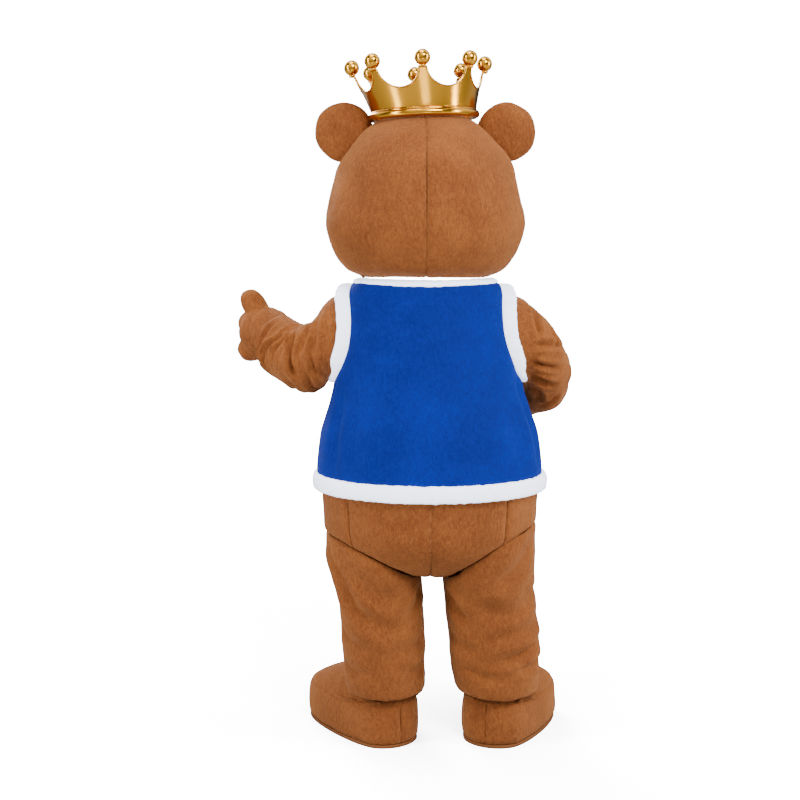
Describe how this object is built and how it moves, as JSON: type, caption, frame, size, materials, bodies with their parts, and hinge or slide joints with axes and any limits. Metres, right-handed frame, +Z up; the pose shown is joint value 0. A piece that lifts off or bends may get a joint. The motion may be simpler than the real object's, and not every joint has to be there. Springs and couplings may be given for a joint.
{
  "type": "bear mascot costume",
  "caption": "Bear mascot costume: plush suit with sleeves and legs, gloves, foot covers, edged open vest and a crowned bear head, each hollow for its wearer.",
  "frame": {"origin": "on the costume's middle line at the height of the wearer's shoulders, which carry the suit", "axes": "+Z up, the bear faces -Y, and +X is the bear's left"},
  "size_m": [0.9571, 0.6249, 1.9277],
  "materials": {
    "plush": "short-pile plush, brown",
    "velvet": "plush velvet, royal blue",
    "fleece": "white fleece edging",
    "sole": "dark brown felt sole",
    "gloss": "black, glossy",
    "gold": "metallised gold, polished"
  },
  "bodies": {
    "suit": {"suit_back_left": "plush", "suit_back_right": "plush", "suit_side_right": "plush", "suit_front_right": "plush", "suit_front_left": "plush", "suit_side_left": "plush", "leg_left": "plush", "sleeve_left_front": "plush", "sleeve_left_back": "plush", "glove_left_back": "plush", "glove_left_palm": "plush", "foot_left_wall_outer": "plush", "foot_left_wall_inner": "plush", "foot_left_top": "plush", "foot_left_sole": "sole", "leg_right": "plush", "sleeve_right_front": "plush", "sleeve_right_back": "plush", "glove_right_back": "plush", "glove_right_palm": "plush", "foot_right_wall_outer": "plush", "foot_right_wall_inner": "plush", "foot_right_top": "plush", "foot_right_sole": "sole", "vest_back": "velvet", "vest_front_left": "velvet", "vest_front_right": "velvet", "vest_edging_hem": "fleece", "vest_edging_front_left": "fleece", "vest_edging_front_right": "fleece", "vest_edging_neck": "fleece", "vest_edging_armhole_left": "fleece", "vest_edging_armhole_right": "fleece"},
    "head": {"head_back_left": "plush", "head_back_right": "plush", "head_face_right": "plush", "head_face_left": "plush", "head_muzzle": "plush", "nose": "gloss", "eye_left": "gloss", "eye_right": "gloss", "ear_left_back": "plush", "ear_left_front": "plush", "ear_right_back": "plush", "ear_right_front": "plush", "crown_rim": "gold", "crown_wall": "gold", "crown_ball_1": "gold", "crown_ball_2": "gold", "crown_ball_3": "gold", "crown_ball_4": "gold", "crown_ball_5": "gold", "crown_ball_6": "gold", "crown_ball_7": "gold", "crown_ball_8": "gold"}
  },
  "joints": [
    {"name": "head_turn", "type": "hinge", "parent": "suit", "child": "head", "pos_m": [0.015, 0, 0.03], "axis": [0, 0, 1], "range_deg": [-60, 60]}
  ]
}
